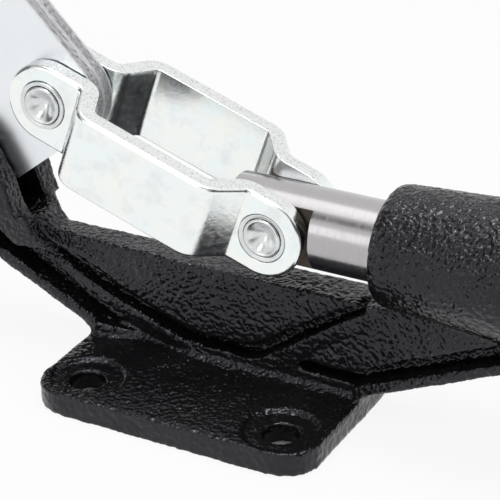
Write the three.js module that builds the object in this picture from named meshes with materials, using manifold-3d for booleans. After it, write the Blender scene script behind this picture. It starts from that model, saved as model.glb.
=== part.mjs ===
// A push-pull toggle clamp: a cast base with a barrel, a sliding plunger, two bent links and a handle.
// Millimetres, +Z up, +X along the plunger to its tip. The origin is the centre of the base's bottom face.
import * as THREE from 'three';
import { mergeVertices } from 'three/addons/utils/BufferGeometryUtils.js';
import Module from 'manifold-3d';

const wasm = await Module();
wasm.setup();

// Fits and facets
const overrun = 1;
const pivotClearance = 0.3;
const slideClearance = 0.3;
const sideClearance = 0.3;
const seatGap = 0.25;
const laminationGap = 0.1;
const mergeDistance = 1e-4;
const roundSides = 36;
const smallSides = 24;
const filletSteps = 4;
const facetTurn = THREE.MathUtils.degToRad(16);
const straightTurn = THREE.MathUtils.degToRad(0.1);

// Linkage at rest: the base pivot, the handle's short arm and the links
const axisHeight = 38;
const basePivotBack = 60.5;
const armLength = 28.05;
const armAngle = THREE.MathUtils.degToRad(38.34);
const linkLength = 52.9;

// The handle's swing from rest, and what follows it: the links per radian and the plunger per radian
const pushedSwing = THREE.MathUtils.degToRad(-40);
const pulledSwing = THREE.MathUtils.degToRad(42);
const linkSwingShare = -1.41;
const plungerTravel = -23.6;
const swingSteps = 3;

// Flange
const flangeLength = 62;
const flangeWidth = 60;
const flangeThickness = 5;
const flangeCorner = 7.5;
const boltInsetX = 9.1;
const boltInsetY = 8.45;
const boltHoleRadius = 3.6;
const spotRadius = 7.7;
const spotDepth = 0.8;

// Handle plates
const plateThickness = 3;
const armHalf = 9.3;
const legHalf = 10;
const bendHalf = 9.4;
const tangHalf = 7.5;
const elbowAngle = THREE.MathUtils.degToRad(95.3);
const elbowFillet = 6;
const lowerReach = 48;
const bendForward = THREE.MathUtils.degToRad(24);
const handleBendRadius = 22;

// Grip
const gripStart = 16;
const gripLength = 82;
const gripWall = 3.2;
const gripSideWall = 4.4;
const gripEndWall = 5;
const gripRound = 3;
const gripCorner = 6;

// Plunger
const plungerRadius = 8;
const plungerFront = 110;
const tongueHalf = 5;
const tongueBack = 9.4;
const shoulderForward = 9.2;
const plungerChamfer = 0.8;

// Barrel
const barrelRear = 34.2;
const barrelFront = 86;
const barrelRearRadius = 12.1;
const barrelMidRadius = 13.4;
const barrelFrontRadius = 12.7;
const barrelRim = 2.6;

// Rear fork
const lugRadius = 9.4;
const cheekThickness = 5.15;
const forkFloorGap = 1.1;
const lugTopStart = 22;
const lugTopEnd = 178;

// Web and ribs
const webClearance = 4.7;
const webHalf = 2.8;
const ribHalf = 6.2;
const rimHalf = 5.2;
const rearRimHalf = 4.6;
const ledgeHalf = 4.65;
const coreHalf = 1;
const grooveWidth = 2.4;
const flangeRibWidth = 2.7;
const rimWidth = 1.5;
const ribBend = 3;
const footFillet = 1.9;

// Links
const linkThickness = 3.8;
const linkHalfWidth = 8.33;
const linkPanelHalf = 14;
const linkBendRadius = 3.4;
const rearJogStart = 8.3;
const rearJogEnd = 12.4;
const frontJogStart = 6.5;
const frontJogEnd = 11.9;

// Pivots
const rivetRadius = 2.9;
const rivetFlare = 1.1;
const rivetFaceRadius = 4.1;
const dishRadius = 2.9;
const dishDepth = 0.7;
const bushRadius = 5.02;
const bushProud = 0.5;
const baseHeadRadius = 5.4;
const baseHeadHeight = 1.4;
const handleRivetRadius = 3;
const handleRivetHead = 4.6;
const handleRivetHeight = 1.6;

// Spindle
const spindleRadius = 5;
const spindleReach = 16;
const spindleEngaged = 20;
const boreSpare = 8;
const hexHalf = 8.5;
const hexChamfer = 0.9;
const headHeight = 6.4;
const nutHeight = 5;
const tipWall = 2.4;
const tipFace = 4.5;
const tipLip = 2;
const tipRound = 1.8;

// The cheeks' outline below the axis, and that of the narrower neck under them,
// in shares of the lug's radius about the base pivot
const cheekFrontShares = [[1.52, -1.02], [1.38, -0.67], [1.27, -0.25]];
const cheekRearShares = [[-1, -0.5], [-0.7, -0.9], [-0.2, -1.04]];
const neckShares = [
  [2.3, -1.7], [1.93, -1.57], [1.74, -1.37], [1.62, -1.1], [1.38, -0.67], [0.6, 0], [-0.9, 0],
  [-1, -0.64], [-0.75, -1.17], [0, -1.6], [1.21, -1.81]];

// The rear arm's drop below the base pivot, and the front arm's end along and below the barrel's axis
const rearArmDropShare = 1.64;
const frontArmEndShare = 0.7;
const frontArmDropShare = 0.97;

// Routes of the rim and the groove round the main panel, in shares of the way from fork to barrel
// and of the web's height over the flange. A third share is of the width.
const rearRimShares = [
  [0.17, 0.9], [0.26, 0.755], [0.353, 0.575], [0.449, 0.421], [0.51, 0.36], [0.57, 0.335]];
const grooveShares = [
  [0.13, 0.79, 0.5], [0.165, 0.717, 0.6], [0.193, 0.658, 0.62], [0.249, 0.553, 0.62],
  [0.332, 0.419, 0.64], [0.391, 0.342, 0.66], [0.449, 0.258, 0.68], [0.506, 0.193, 0.8],
  [0.55, 0.2, 0.95], [0.6, 0.205, 1.05], [0.66, 0.195, 1.15], [0.69, 0.235, 1.15],
  [0.735, 0.36, 1.1], [0.79, 0.53, 1.05], [0.868, 0.75], [0.93, 0.915, 0.9], [0.965, 1, 0.75]];

// What stands proud of the web, in the same shares. A third share is of the rims' half thickness.
const mainPanelShares = [
  [0.137, 0.8, 0.54], [0.165, 0.755, 0.54], [0.193, 0.702, 0.54], [0.249, 0.6, 0.55],
  [0.332, 0.465, 0.58], [0.391, 0.388, 0.63], [0.448, 0.305, 0.7], [0.505, 0.24, 0.78],
  [0.56, 0.258, 0.8], [0.66, 0.258, 0.85], [0.13, 0.98, 0.58], [0.26, 0.755, 0.74],
  [0.353, 0.575, 0.86], [0.449, 0.415, 0.95], [0.505, 0.34, 1], [0.54, 0.32, 1], [0.6, 0.31, 1],
  [0.65, 0.325, 1], [0.7, 0.375, 1], [0.75, 0.51, 1], [0.868, 0.826, 0.93], [0.95, 1.03, 0.86],
  [1.04, 1.03, 0.76]];
const strutShares = [
  [0.165, 0.69, 0.54], [0.249, 0.515, 0.55], [0.331, 0.38, 0.6], [0.39, 0.3, 0.65],
  [0.449, 0.215, 0.72], [0.041, 0.846, 0.69], [0.142, 0.669, 0.75], [0.185, 0.581, 0.79],
  [0.258, 0.474, 0.85], [0.329, 0.338, 0.9], [0.399, 0.23, 0.94], [0.489, 0.15, 0.96],
  [0.5, 0, 0.88], [0.42, 0, 0.6], [0.31, 0.25, 0.82], [0.25, 0.335, 0.78], [0.163, 0.49, 0.72],
  [0.067, 0.66, 0.68], [-0.006, 0.87, 0.62]];
const braceShares = [
  [0.706, 0.2, 0.94], [0.741, 0.36, 1], [0.868, 0.7, 0.95], [0.975, 1.02, 0.86], [1.05, 1.03, 0.84],
  [0.955, 0.77, 0.9], [0.885, 0.577, 0.96], [0.8, 0.3, 1], [0.76, 0.1, 0.92]];
const frontPanelShares = [
  [0.8, 0.2, 1], [0.973, 0.25, 1], [1.06, 0.42, 1], [1.181, 0.67, 1], [1.271, 0.85, 1],
  [1.35, 1.02, 1], [1.35, 1.1, 1], [1.04, 1.1, 0.78], [1, 0.92, 0.73], [0.86, 0.5, 0.76]];
const rearFootShares = [
  [0.24, 0, 1.19], [0.24, 0.13, 1.19], [0.285, 0, 1.12], [0.285, 0.11, 1.1], [0.36, 0, 0.75],
  [0.36, 0.07, 0.62]];
const footLedgeShares = [
  [0.46, 0, 0.7], [0.5, 0, 0.89], [0.975, 0, 0.89], [1, 0.3, 0.97], [0.968, 0.25, 1],
  [0.706, 0.2, 0.96], [0.54, 0.16, 0.92], [0.489, 0.15, 0.92]];

// Pockets in the web and the arms' ribs, in the same shares
const rearPocketShares = [
  [-0.12, 0.97], [-0.12, 1.06], [-0.06, 1.03], [-0.006, 0.915], [0.03, 0.79], [0.056, 0.69],
  [0.084, 0.625], [0.14, 0.519], [0.196, 0.413], [0.252, 0.32], [0.28, 0.305], [0.3, 0.295],
  [0.313, 0.255], [0.316, 0.19], [0.308, 0.135], [0.292, 0.115], [0.27, 0.135], [0.239, 0.205],
  [0.211, 0.257], [0.183, 0.316], [0.127, 0.433], [0.071, 0.559], [0.014, 0.69], [-0.06, 0.845]];
const frontPocketShares = [
  [0.8, 0.215], [0.807, 0.245], [0.82, 0.27], [0.846, 0.285], [0.883, 0.285], [0.922, 0.285],
  [0.959, 0.31], [0.997, 0.412], [1.034, 0.49], [1.083, 0.585], [1.132, 0.665], [1.18, 0.757],
  [1.227, 0.845], [1.274, 0.93], [1.335, 1.05], [1.39, 0.97], [1.281, 0.765], [1.234, 0.68],
  [1.187, 0.594], [1.139, 0.507], [1.09, 0.42], [1.041, 0.33], [1.004, 0.266], [0.966, 0.2],
  [0.953, 0.165], [0.923, 0.158], [0.885, 0.158], [0.846, 0.164], [0.82, 0.16], [0.805, 0.175]];

// The two rivets of the handle plates, in shares of the way from elbow to bend
const handleRivetShares = [0.52, 1];

const castMaterial = new THREE.MeshStandardMaterial({ color: 0x17171a, roughness: 0.42, metalness: 0.1 });
const steelMaterial = new THREE.MeshStandardMaterial({ color: 0xb4b0ac, roughness: 0.28, metalness: 1 });
const zincMaterial = new THREE.MeshStandardMaterial({ color: 0xd6dde0, roughness: 0.32, metalness: 1 });
const plateMaterial = new THREE.MeshStandardMaterial({ color: 0xcfd8dc, roughness: 0.36, metalness: 1 });
const gripMaterial = new THREE.MeshStandardMaterial({ color: 0xb3161b, roughness: 0.55, metalness: 0 });
const rubberMaterial = new THREE.MeshStandardMaterial({ color: 0x1d1d1e, roughness: 0.8, metalness: 0 });

// Places worked out from the linkage
const basePivot = new THREE.Vector3(-basePivotBack, 0, axisHeight);
const linkPivot = new THREE.Vector3(
  basePivot.x + armLength * Math.cos(armAngle), 0, basePivot.z + armLength * Math.sin(armAngle));
const linkRise = linkPivot.z - axisHeight;
const linkRun = Math.sqrt(linkLength ** 2 - linkRise ** 2);
const plungerPivot = new THREE.Vector3(linkPivot.x + linkRun, 0, axisHeight);
const linkAngle = Math.atan2(-linkRise, linkRun);
const shoulder = plungerPivot.x + shoulderForward;
const tongueRear = plungerPivot.x - tongueBack;

// Sizes worked out from what they fit
const handleHalf = plateThickness + laminationGap / 2;
const forkHalf = handleHalf + sideClearance;
const lugHalf = forkHalf + cheekThickness;
const lugFront = basePivot.x + lugRadius;
const lugRear = basePivot.x - lugRadius;
const forkFloor = axisHeight - armHalf - forkFloorGap;
const webHeight = axisHeight - plungerRadius - webClearance;
const barrelSeat = axisHeight - (plungerRadius + barrelRearRadius) / 2;
const rearTab = handleHalf + sideClearance;
const frontTab = tongueHalf + sideClearance;
const hexCorner = hexHalf / Math.cos(Math.PI / 6);
const headRear = plungerFront + spindleReach;

// A closed geometry as a solid
function solid(geometry) {
  const bare = geometry.index ? geometry.toNonIndexed() : geometry;
  bare.deleteAttribute('normal');
  bare.deleteAttribute('uv');
  const merged = mergeVertices(bare, mergeDistance);
  return new wasm.Manifold(new wasm.Mesh({
    numProp: 3,
    vertProperties: new Float32Array(merged.attributes.position.array),
    triVerts: new Uint32Array(merged.index.array),
  }));
}

// A named sub-part made of a solid, without the slivers that a cut can leave
function piece(name, body, material) {
  const { vertProperties, triVerts } = body.getMesh();
  const raw = new THREE.BufferGeometry();
  raw.setAttribute('position', new THREE.BufferAttribute(new Float32Array(vertProperties), 3));
  raw.setIndex(new THREE.BufferAttribute(new Uint32Array(triVerts), 1));
  const geometry = mergeVertices(raw, mergeDistance);
  const corners = geometry.index.array;
  const kept = [];
  for (let i = 0; i < corners.length; i += 3) {
    const [a, b, c] = corners.slice(i, i + 3);
    if (a !== b && b !== c && c !== a) kept.push(a, b, c);
  }
  geometry.setIndex(kept);
  const mesh = new THREE.Mesh(geometry, material);
  mesh.name = name;
  return mesh;
}

function joined(bodies) {
  return bodies.reduce((sum, body) => sum.add(body));
}

function cut(body, tools) {
  return tools.reduce((rest, tool) => rest.subtract(tool), body);
}

function outline(points) {
  return new THREE.Shape(points.map(([x, z]) => new THREE.Vector2(x, z)));
}

// An outline in X and Z as a slab from low to high along Y
function slab(shape, low, high) {
  const geometry = new THREE.ExtrudeGeometry(shape, { depth: high - low, bevelEnabled: false });
  geometry.rotateX(Math.PI / 2);
  geometry.translate(0, high, 0);
  return solid(geometry);
}

function box(lowX, highX, lowY, highY, lowZ, highZ) {
  return slab(outline([[lowX, lowZ], [highX, lowZ], [highX, highZ], [lowX, highZ]]), lowY, highY);
}

// The points of an arc about a centre, between two angles in degrees
function arc(centreX, centreZ, radius, from, to, steps = filletSteps) {
  return Array.from({ length: steps + 1 }, (_, i) => {
    const angle = THREE.MathUtils.degToRad(from + (to - from) * i / steps);
    return [centreX + radius * Math.cos(angle), centreZ + radius * Math.sin(angle)];
  });
}

// A slot's outline: two half circles about its end points
function capsule(start, end, radius) {
  const heading = THREE.MathUtils.radToDeg(Math.atan2(end[1] - start[1], end[0] - start[0]));
  return outline([
    ...arc(...end, radius, heading - 90, heading + 90, filletSteps * 2),
    ...arc(...start, radius, heading + 90, heading + 270, filletSteps * 2),
  ]);
}

function sideways(heading) {
  return new THREE.Vector2(-heading.y, heading.x);
}

// A strip along a line of [x, z, half width] corners, which are rounded to a radius
function strip(corners, radius) {
  const line = corners.map(([x, z]) => new THREE.Vector2(x, z));
  const left = [];
  const right = [];
  line.forEach((corner, i) => {
    const next = line[Math.min(i + 1, line.length - 1)];
    const last = line[Math.max(i - 1, 0)];
    const onward = (i < line.length - 1 ? next.clone().sub(corner) : corner.clone().sub(last)).normalize();
    const inward = (i > 0 ? corner.clone().sub(last) : onward.clone()).normalize();
    const turn = Math.atan2(inward.cross(onward), inward.dot(onward));
    const bend = radius * Math.sign(turn);
    const start = corner.clone().addScaledVector(inward, -bend * Math.tan(turn / 2));
    const centre = start.clone().addScaledVector(sideways(inward), bend);
    const steps = Math.abs(turn) < straightTurn ? 0 : Math.ceil(Math.abs(turn) / facetTurn);
    for (let step = 0; step <= steps; step += 1) {
      const side = sideways(inward).rotateAround(new THREE.Vector2(), turn * step / Math.max(steps, 1));
      const place = centre.clone().addScaledVector(side, -bend);
      left.push(place.clone().addScaledVector(side, corners[i][2]));
      right.push(place.clone().addScaledVector(side, -corners[i][2]));
    }
  });
  return new THREE.Shape([...left, ...right.reverse()]);
}

function evenStrip(points, width, radius) {
  return strip(points.map(([x, z]) => [x, z, width / 2]), radius);
}

// A round bar along Y, centred on an [x, z] point
function pin([x, z], radius, low, high, sides = roundSides) {
  const geometry = new THREE.CylinderGeometry(radius, radius, high - low, sides);
  geometry.translate(x, (low + high) / 2, z);
  return solid(geometry);
}

// A solid turned about X, Y or Z from a closed profile of [along, radius] points
function turned(profile, axis, sides = roundSides) {
  const points = profile.map(([along, radius]) => new THREE.Vector2(radius, along));
  const area = THREE.ShapeUtils.area(points);
  const geometry = new THREE.LatheGeometry(area < 0 ? points.reverse() : points, sides);
  if (axis === 'x') geometry.rotateZ(-Math.PI / 2);
  if (axis === 'z') geometry.rotateX(Math.PI / 2);
  return solid(geometry);
}

// A closed ring about X, Y or Z between two radii
function ring(low, high, inner, outer, axis, sides = roundSides) {
  return turned([[low, inner], [low, outer], [high, outer], [high, inner], [low, inner]], axis, sides);
}

// Flange plate with four holes, each in a shallow round seat
function flange() {
  const x = flangeLength / 2 - flangeCorner;
  const y = flangeWidth / 2 - flangeCorner;
  const shape = outline([
    ...arc(x, y, flangeCorner, 0, 90, filletSteps * 2),
    ...arc(-x, y, flangeCorner, 90, 180, filletSteps * 2),
    ...arc(-x, -y, flangeCorner, 180, 270, filletSteps * 2),
    ...arc(x, -y, flangeCorner, 270, 360, filletSteps * 2),
  ]);
  const plate = solid(new THREE.ExtrudeGeometry(shape, { depth: flangeThickness, bevelEnabled: false }));
  const seat = flangeThickness - spotDepth;
  const hole = turned([
    [-overrun, 0],
    [-overrun, boltHoleRadius],
    [seat, boltHoleRadius],
    [seat, spotRadius],
    [flangeThickness + overrun, spotRadius],
    [flangeThickness + overrun, 0],
  ], 'z', smallSides);
  const holeX = flangeLength / 2 - boltInsetX;
  const holeY = flangeWidth / 2 - boltInsetY;
  const corners = [[-holeX, -holeY], [holeX, -holeY], [-holeX, holeY], [holeX, holeY]];
  return cut(plate, corners.map(([atX, atY]) => hole.translate([atX, atY, 0])));
}

// The lowest line of the rear arm, from the flange's end up the back of the fork
function rearArm() {
  const inset = flangeRibWidth / 2;
  const foot = -flangeLength / 2;
  const root = flangeThickness + inset;
  const low = axisHeight - lugRadius * rearArmDropShare;
  return [
    [foot + inset, root],
    [foot - inset / 2, root + inset * 1.5],
    [basePivot.x, low],
    [lugRear + inset * 3.5, low + inset * 2],
    [lugRear + inset, axisHeight - inset * 3],
  ];
}

// The lowest line of the front arm, from the flange's other end up to the barrel
function frontArm() {
  const inset = flangeRibWidth / 2;
  const foot = flangeLength / 2;
  const root = flangeThickness + inset;
  return [
    [foot - inset, root],
    [foot + inset * 1.5, root + inset * 1.5],
    [
      barrelRear + (barrelFront - barrelRear) * frontArmEndShare,
      axisHeight - barrelMidRadius * frontArmDropShare,
    ],
  ];
}

// The thin web between the arms, from the fork to the barrel
function web() {
  const inset = flangeRibWidth / 2;
  const foot = flangeLength / 2 - inset;
  return slab(outline([
    [-foot, flangeThickness / 2],
    ...rearArm(),
    [basePivot.x, axisHeight],
    [lugFront, axisHeight - flangeRibWidth],
    [lugFront + flangeRibWidth, forkFloor + flangeRibWidth],
    [lugFront + flangeRibWidth * 2, webHeight + flangeRibWidth],
    [lugFront + flangeRibWidth * 4, webHeight],
    [barrelRear + barrelRim, webHeight],
    [barrelRear + barrelRim, barrelSeat],
    [barrelRear + (barrelFront - barrelRear) * frontArmEndShare, barrelSeat],
    ...frontArm().reverse(),
    [foot, flangeThickness / 2],
  ]), -webHalf, webHalf);
}

// The fillet at the foot of a web of some half thickness, from one X to another
function webFoot(half, start, end) {
  const top = flangeThickness + footFillet;
  const wide = half + footFillet;
  const section = outline([
    [-wide, flangeThickness / 2],
    [wide, flangeThickness / 2],
    ...arc(wide, top, footFillet, 270, 180),
    ...arc(-wide, top, footFillet, 360, 270),
  ]);
  const geometry = new THREE.ExtrudeGeometry(section, { depth: end - start, bevelEnabled: false });
  geometry.rotateX(Math.PI / 2);
  geometry.rotateZ(Math.PI / 2);
  geometry.translate(start, 0, 0);
  return solid(geometry);
}

// A place in X and Z from its shares of the way from fork to barrel and of the web's height
function webPlace([along, up]) {
  return [
    lugFront + along * (barrelRear - lugFront),
    flangeThickness + up * (webHeight - flangeThickness),
  ];
}

// A rib's outline along a route of shares
function ribOutline(shares, width) {
  const half = width / 2;
  return strip(shares.map(([along, up, wide = 1]) => [...webPlace([along, up]), half * wide]), ribBend);
}

// A panel that stands proud of both faces of the web
function panel(shares) {
  return wasm.Manifold.hull(shares.flatMap(([along, up, out]) => {
    const [x, z] = webPlace([along, up]);
    return [[x, -rimHalf * out, z], [x, rimHalf * out, z]];
  }));
}

// A recess in both faces of the web, down to a half thickness
function recess(shape, floorHalf) {
  const wide = ribHalf + overrun;
  return [slab(shape, -wide, -floorHalf), slab(shape, floorHalf, wide)];
}

// A place in X and Z from its shares of the lug's radius about the base pivot
function lugPlace([along, up]) {
  return [basePivot.x + lugRadius * along, axisHeight + lugRadius * up];
}

// The ribs along the lower edges of the two arms
function armRibs() {
  return [rearArm(), frontArm()].map((line) => (
    slab(evenStrip(line, flangeRibWidth, ribBend / 2), -ribHalf, ribHalf)));
}

// The web, its ribs and the fork's neck, with raised panels, a groove and two pockets
function panelledWeb() {
  const footEnd = (flangeLength - footFillet) / 2;
  const [ledgeStart] = webPlace(footLedgeShares[1]);
  const panels = [
    mainPanelShares, strutShares, braceShares, frontPanelShares, footLedgeShares, rearFootShares];
  const body = joined([
    web(),
    webFoot(webHalf, -footEnd, footEnd),
    webFoot(ledgeHalf, ledgeStart, footEnd),
    ...panels.map(panel),
    slab(ribOutline(rearRimShares, rimWidth), -rearRimHalf, rearRimHalf),
    slab(outline(neckShares.map(lugPlace)), -ribHalf, ribHalf),
    ...armRibs(),
  ]);
  const pockets = [rearPocketShares, frontPocketShares].map((shares) => outline(shares.map(webPlace)));
  const groove = ribOutline(grooveShares, grooveWidth);
  return cut(body, [groove, ...pockets].flatMap((shape) => recess(shape, coreHalf)));
}

// The two cheeks that hold the base rivet
function cheeks() {
  return slab(outline([
    ...cheekFrontShares.map(lugPlace),
    ...arc(basePivot.x, axisHeight, lugRadius, lugTopStart, lugTopEnd, filletSteps * 4),
    ...cheekRearShares.map(lugPlace),
  ]), -lugHalf, lugHalf);
}

// The tube that guides the plunger, fuller in the middle than at its ends
function barrel() {
  const core = plungerRadius / 2;
  const rearRound = arc(barrelRear + barrelRim, barrelRearRadius - barrelRim, barrelRim, 180, 90);
  const frontRim = barrelRim / 2;
  const frontRound = arc(barrelFront - frontRim, barrelFrontRadius - frontRim, frontRim, 90, 0);
  const middle = (barrelRear + barrelFront) / 2;
  return turned([
    [barrelRear, core],
    ...rearRound,
    [middle, barrelMidRadius],
    ...frontRound,
    [barrelFront, core],
    [barrelRear, core],
  ], 'x').translate([0, 0, axisHeight]);
}

function baseCasting() {
  const wide = lugRadius * 2.4;
  const top = axisHeight + lugRadius + overrun;
  const slot = box(basePivot.x - wide, basePivot.x + wide, -forkHalf, forkHalf, forkFloor, top);
  const bore = turned([
    [barrelRear - overrun, 0],
    [barrelRear - overrun, plungerRadius + slideClearance],
    [barrelFront + overrun, plungerRadius + slideClearance],
    [barrelFront + overrun, 0],
  ], 'x').translate([0, 0, axisHeight]);
  const through = lugHalf + overrun;
  const pivotHole = pin(
    [basePivot.x, basePivot.z], rivetRadius + pivotClearance, -through, through, smallSides);
  const cast = joined([flange(), panelledWeb(), cheeks(), barrel()]);
  return piece('base_casting', cut(cast, [slot, bore, pivotHole]), castMaterial);
}

// Half of a rivet's profile, from its middle to a flared and dished end
function flaredEnd(end) {
  return [
    [0, rivetRadius],
    [end - rivetFlare, rivetRadius],
    [end, rivetFaceRadius],
    [end, dishRadius],
    [end - dishDepth, dishRadius - dishDepth],
    [end - dishDepth, 0],
  ];
}

// A rivet along Y through a pivot, with the same end on both sides
function rivet(name, endProfile) {
  const mirrored = endProfile.map(([along, radius]) => [-along, radius]).reverse();
  return piece(name, turned([...mirrored, ...endProfile.slice(1)], 'y', smallSides), steelMaterial);
}

// The rivet that holds the handle in the fork, with a dished head outside each cheek
function baseRivet() {
  const seat = lugHalf + seatGap;
  const top = seat + baseHeadHeight;
  const bevel = baseHeadHeight / 2;
  const mesh = rivet('base_rivet', [
    [0, rivetRadius],
    [seat, rivetRadius],
    [seat, baseHeadRadius],
    [top - bevel, baseHeadRadius],
    [top, baseHeadRadius - bevel],
    [top, dishRadius],
    [top - dishDepth, dishRadius - dishDepth],
    [top - dishDepth, 0],
  ]);
  mesh.position.copy(basePivot);
  return mesh;
}

// A hard ring in a link's eye, countersunk for the rivet's flared end
function linkBush(name, place, inner, outer, side) {
  const profile = [
    [inner, rivetRadius + seatGap],
    [inner, bushRadius],
    [outer, bushRadius],
    [outer, rivetFaceRadius + seatGap],
    [outer - rivetFlare - seatGap, rivetRadius + seatGap],
    [inner, rivetRadius + seatGap],
  ];
  const mesh = piece(name, turned(profile.map(([y, r]) => [y * side, r]), 'y'), steelMaterial);
  mesh.position.x = place;
  return mesh;
}

// A link along X from its rear eye: a thick strip with round ends, bent outwards between its eyes
function link(name, side) {
  const half = linkThickness / 2;
  const wide = linkPanelHalf + linkThickness;
  const route = [
    [-linkHalfWidth, rearTab + half],
    [rearJogStart, rearTab + half],
    [rearJogEnd, linkPanelHalf],
    [linkLength - frontJogEnd, linkPanelHalf],
    [linkLength - frontJogStart, frontTab + half],
    [linkLength + linkHalfWidth, frontTab + half],
  ].map(([along, out]) => [along, out * side]);
  const bent = new THREE.ExtrudeGeometry(
    evenStrip(route, linkThickness, linkBendRadius), { depth: linkHalfWidth * 2, bevelEnabled: false });
  bent.translate(0, 0, -linkHalfWidth);
  const rounded = slab(capsule([0, 0], [linkLength, 0], linkHalfWidth), -wide, wide);
  const eyes = [0, linkLength].map((x) => pin([x, 0], bushRadius + seatGap, -wide, wide));
  return piece(name, cut(solid(bent).intersect(rounded), eyes), zincMaterial);
}

// Links, bushes and the two rivets that join them, about the link pivot
function linkGroup() {
  const rearFace = rearTab + linkThickness + bushProud;
  const frontFace = frontTab + linkThickness;
  const group = new THREE.Group();
  [['near', -1], ['far', 1]].forEach(([word, side]) => {
    group.add(link(`link_${word}`, side));
    group.add(linkBush(`link_bush_${word}`, 0, rearTab, rearFace, side));
    group.add(linkBush(`plunger_bush_${word}`, linkLength, frontTab, frontFace, side));
  });
  group.add(rivet('link_rivet', flaredEnd(rearFace)));
  const plungerRivet = rivet('plunger_rivet', flaredEnd(frontFace));
  plungerRivet.position.x = linkLength;
  group.add(plungerRivet);
  group.position.copy(linkPivot);
  group.rotation.y = -linkAngle;
  return group;
}

// A place at a distance from another, at an angle in X and Z
function along([x, z], angle, distance) {
  return [x + distance * Math.cos(angle), z + distance * Math.sin(angle)];
}

const gripAngle = elbowAngle - bendForward;
const elbow = [armLength, 0];
const handleBend = along(elbow, elbowAngle, lowerReach);
const gripMouth = along(handleBend, gripAngle, gripStart);
const tangEnd = along(gripMouth, gripAngle, gripLength - gripEndWall - seatGap);
const handleRivets = handleRivetShares.map((share) => along(elbow, elbowAngle, lowerReach * share));

// The rounded inner corner between the short arm and the leg
function elbowCorner() {
  const rearSide = along(elbow, elbowAngle + Math.PI / 2, legHalf);
  const climb = (armHalf - rearSide[1]) / Math.sin(elbowAngle);
  const corner = along(rearSide, elbowAngle, climb);
  const back = elbowFillet / Math.tan(elbowAngle / 2);
  const centre = [corner[0] - back, armHalf + elbowFillet];
  const end = THREE.MathUtils.radToDeg(elbowAngle) - 90;
  return outline([elbow, ...arc(...centre, elbowFillet, end, -90)]);
}

function handlePlate(name, side) {
  const [low, high] = [laminationGap / 2, handleHalf].map((y) => y * side).sort((a, b) => a - b);
  const leg = strip([
    [...elbow, legHalf],
    [...handleBend, bendHalf],
    [...gripMouth, tangHalf],
    [...tangEnd, tangHalf],
  ], handleBendRadius);
  const plate = joined([
    slab(capsule([0, 0], elbow, armHalf), low, high),
    pin(elbow, legHalf, low, high),
    slab(elbowCorner(), low, high),
    slab(leg, low, high),
  ]);
  const through = handleHalf + overrun;
  const holes = [
    ...[[0, 0], elbow].map((place) => pin(place, bushRadius + seatGap, -through, through)),
    ...handleRivets.map((place) => pin(place, handleRivetRadius + seatGap, -through, through, smallSides)),
  ];
  return piece(name, cut(plate, holes), plateMaterial);
}

// A sleeve in the handle plates that turns on a rivet
function handleBush(name, [x, z]) {
  const mesh = piece(
    name,
    ring(-handleHalf, handleHalf, rivetRadius + pivotClearance, bushRadius, 'y', smallSides),
    steelMaterial,
  );
  mesh.position.set(x, 0, z);
  return mesh;
}

// A round-headed rivet that clamps the two plates
function handleRivet(name, [x, z]) {
  const seat = handleHalf + seatGap;
  const crown = seat + handleRivetHeight;
  const mesh = rivet(name, [
    [0, handleRivetRadius],
    [seat, handleRivetRadius],
    [seat, handleRivetHead],
    [(seat + crown) / 2, handleRivetHead * Math.cos(Math.PI / 6)],
    [crown, handleRivetHead / 2],
    [crown, 0],
  ]);
  mesh.position.set(x, 0, z);
  return mesh;
}

// A rounded bar with its middle at the origin and its length along Z
function roundedBar(halfX, halfY, corner, length, bevel) {
  const x = halfX - corner;
  const y = halfY - corner;
  const section = outline([
    ...arc(x, y, corner - bevel, 0, 90),
    ...arc(-x, y, corner - bevel, 90, 180),
    ...arc(-x, -y, corner - bevel, 180, 270),
    ...arc(x, -y, corner - bevel, 270, 360),
  ]);
  const geometry = new THREE.ExtrudeGeometry(section, {
    depth: length - bevel * 2,
    bevelEnabled: bevel > 0,
    bevelSize: bevel,
    bevelThickness: bevel,
    bevelSegments: filletSteps,
  });
  geometry.translate(0, 0, bevel);
  return solid(geometry);
}

// The moulded grip, hollow for the plates' ends
function grip() {
  const hollowX = tangHalf + seatGap;
  const hollowY = handleHalf + seatGap;
  const outer = roundedBar(hollowX + gripWall, hollowY + gripSideWall, gripCorner, gripLength, gripRound);
  const hollow = box(-hollowX, hollowX, -hollowY, hollowY, -overrun, gripLength - gripEndWall);
  const mesh = piece('grip', outer.subtract(hollow), gripMaterial);
  mesh.position.set(gripMouth[0], 0, gripMouth[1]);
  mesh.rotation.y = Math.PI / 2 - gripAngle;
  return mesh;
}

// Handle plates, their bushes, rivets and grip, about the base pivot
function handleGroup() {
  const group = new THREE.Group();
  group.add(handlePlate('handle_plate_near', -1), handlePlate('handle_plate_far', 1));
  group.add(handleBush('base_bush', [0, 0]), handleBush('handle_bush', elbow));
  group.add(handleRivet('handle_rivet_lower', handleRivets[0]));
  group.add(handleRivet('handle_rivet_upper', handleRivets[1]));
  group.add(grip());
  group.position.copy(basePivot);
  group.rotation.y = -armAngle;
  return group;
}

// Where the links' front rivet lies in the plunger's tongue, beside its place at rest, after a swing
function rivetPlace(swing) {
  const arm = armAngle + swing;
  const slant = linkAngle + swing * (1 + linkSwingShare);
  const [elbowX, elbowZ] = along([basePivot.x, basePivot.z], arm, armLength);
  const [x, z] = along([elbowX, elbowZ], slant, linkLength);
  return [x - plungerTravel * swing, z];
}

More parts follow.
